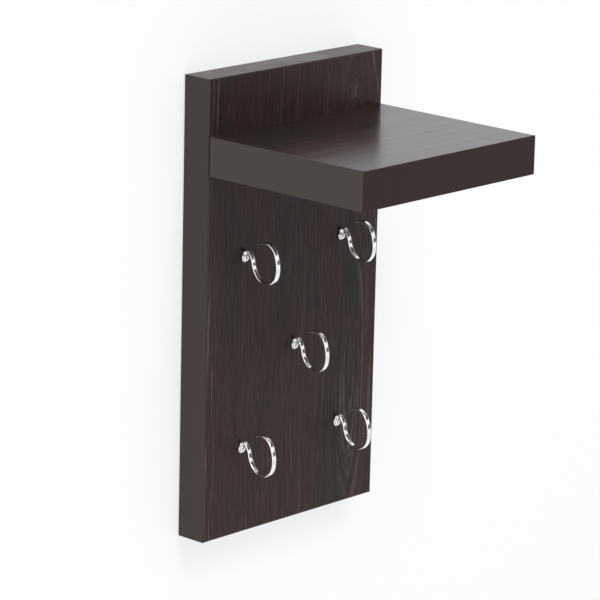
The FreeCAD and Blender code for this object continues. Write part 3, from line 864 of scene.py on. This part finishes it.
def buildStage():
    # one four-cornered sheet each, with its corners anticlockwise as seen from its front
    look = stageLook
    wide = look["halfWidth"]
    floor = -look["floorDrop"]
    back = look["wallGap"]
    front = -look["floorReach"]
    sheets = {
        "wall": [(-wide, back, floor), (wide, back, floor), (wide, back, wide), (-wide, back, wide)],
        "floor": [(-wide, front, floor), (wide, front, floor), (wide, back, floor), (-wide, back, floor)],
    }
    for name, corners in sheets.items():
        mesh = bpy.data.meshes.new(name)
        mesh.from_pydata(corners, [], [(0, 1, 2, 3)])
        paint = buildStageMaterial(f"{name}Paint", look[f"{name}Shade"], look[f"{name}Glow"])
        mesh.materials.append(paint)
        sheet = bpy.data.objects.new(name, mesh)
        scene.collection.objects.link(sheet)


# Light: a pale room whose brightness changes with height, and two large soft boxes

lightLook = {
    "seenSky": 0.95,
    "skyStrength": 1.0,
    # what lights matt surfaces: brightness below and above eye level, and between which heights it
    # changes, heights here being from straight down (0) to straight up (1)
    "fill": (0.80, 0.48),
    "fillEnds": (0.35, 0.65),
    # what polished surfaces show: brightness against height
    "sky": [
        (0.000, 1.00), (0.450, 1.00), (0.480, 0.30), (0.495, 0.12), (0.535, 0.12), (0.560, 0.60),
        (0.580, 1.00), (0.645, 1.00), (0.670, 0.40), (0.690, 0.08), (0.790, 0.08), (0.820, 0.40),
        (0.860, 0.45), (1.000, 0.35),
    ],
    # but the room's left side is plainly bright for them, and ends between these two directions across
    "leftSky": 1.0,
    "leftEnds": (0.2, 0.6),
    "boxes": {
        "keyBox": {"place": (-0.3, -1.9, 2.3), "aim": (0.0, 0.0, 0.0), "size": 1.4, "power": 40.0},
        "fillBox": {"place": (-2.4, -1.8, 0.6), "aim": (0.0, 0.0, 0.0), "size": 1.6, "power": 4.0},
    },
}


def buildSky():
    # Height * 0.5 + 0.5 is a share from 0 to 1, which sets the fill and the shown sky. Glossy rays take
    # the shown sky, the camera sees an even pale one, and all other rays take the fill.
    look = lightLook
    world = bpy.data.worlds.new("room")
    scene.world = world
    world.use_nodes = True
    tree = world.node_tree
    tree.nodes.clear()
    parts = partsOf(tree, tree.nodes.new("ShaderNodeTexCoord").outputs["Generated"])
    share = total(tree, product(tree, parts["Z"], 0.5), 0.5)
    ramp = addNode(tree, "ShaderNodeValToRGB", {0: share})
    stops = ramp.color_ramp.elements
    while len(stops) < len(look["sky"]):
        stops.new(0.5)
    for stop, (position, level) in zip(stops, look["sky"]):
        stop.position = position
        stop.color = (level, level, level, 1)
    right = spread(tree, parts["X"], *look["leftEnds"])
    left = (look["leftSky"], look["leftSky"], look["leftSky"], 1)
    shown = mixColour(tree, right, left, ramp.outputs["Color"])
    fill = spread(tree, share, *look["fillEnds"], *look["fill"])
    path = tree.nodes.new("ShaderNodeLightPath").outputs
    colour = mixColour(tree, path["Is Glossy Ray"], fill, shown)
    backgrounds = []
    for tint, strength in [(colour, look["skyStrength"]), ((1, 1, 1, 1), look["seenSky"])]:
        node = addNode(tree, "ShaderNodeBackground", {"Color": tint, "Strength": strength})
        backgrounds.append(node.outputs[0])
    both = addNode(tree, "ShaderNodeMixShader", {
        0: path["Is Camera Ray"], 1: backgrounds[0], 2: backgrounds[1],
    }).outputs[0]
    tree.links.new(both, tree.nodes.new("ShaderNodeOutputWorld").inputs["Surface"])


def buildLights():
    # each box stands at its place and faces its aim
    for name, box in lightLook["boxes"].items():
        light = bpy.data.lights.new(name, "AREA")
        light.shape = "SQUARE"
        light.size = box["size"]
        light.energy = box["power"]
        lamp = bpy.data.objects.new(name, light)
        scene.collection.objects.link(lamp)
        lamp.location = box["place"]
        aim = Vector(box["aim"]) - Vector(box["place"])
        lamp.rotation_euler = aim.to_track_quat("-Z", "Y").to_euler()


# Camera, at the photograph's angle

cameraLook = {
    "azimuth": -46.929,
    "elevation": 14.694,
    "roll": 1.3154,
    "distance": 2.29177,
    "lens": 214.05,
    "sensor": 36.0,
    "aim": (6.677 * mm, -21.766 * mm, -5.16 * mm),
}


def buildCamera():
    # From the aim it stands back by the distance, in the direction (sin a * cos e, -cos a * cos e,
    # sin e) of its azimuth a and elevation e, and it rolls about its own line of sight.
    look = cameraLook
    turn = math.radians(look["azimuth"])
    rise = math.radians(look["elevation"])
    level = math.cos(rise)
    back = Vector((math.sin(turn) * level, -math.cos(turn) * level, math.sin(rise)))
    lens = bpy.data.cameras.new("camera")
    lens.lens = look["lens"]
    lens.sensor_width = look["sensor"]
    camera = bpy.data.objects.new("camera", lens)
    scene.collection.objects.link(camera)
    camera.location = Vector(look["aim"]) + back * look["distance"]
    camera.rotation_mode = "QUATERNION"
    upright = (-back).to_track_quat("-Z", "Y")
    camera.rotation_quaternion = upright @ Quaternion((0, 0, 1), math.radians(look["roll"]))
    bpy.context.scene.camera = camera


buildStage()
buildSky()
buildLights()
buildCamera()
scene.view_settings.view_transform = "Standard"
print("stage, light and camera built")
